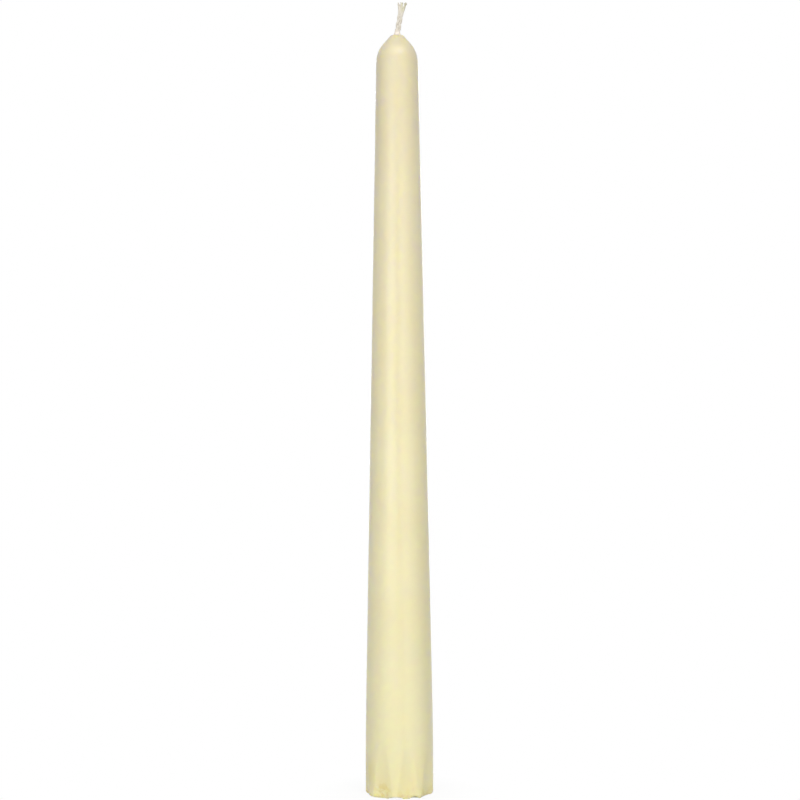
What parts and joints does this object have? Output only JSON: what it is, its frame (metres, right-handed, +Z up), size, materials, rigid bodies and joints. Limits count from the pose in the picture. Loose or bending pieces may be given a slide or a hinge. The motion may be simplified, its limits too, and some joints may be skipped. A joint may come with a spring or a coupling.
{
  "type": "taper candle",
  "caption": "Tall tapered ivory wax candle with a fluted foot, a pointed tip and a plaited cotton wick that leans to one side.",
  "frame": {"origin": "middle of the foot's underside", "axes": "+Z up the candle's axis, from the foot to the wick; +X the side that the wick leans to; -Y the side that the picture shows"},
  "size_m": [0.0222, 0.0222, 0.261],
  "materials": {
    "wax": "ivory candle wax, smooth and slightly translucent, with a soft satin gloss",
    "wick": "unbleached plaited cotton with a little wax in it"
  },
  "bodies": {
    "root": {"wax_body": "wax", "wick": "wick"}
  },
  "joints": []
}
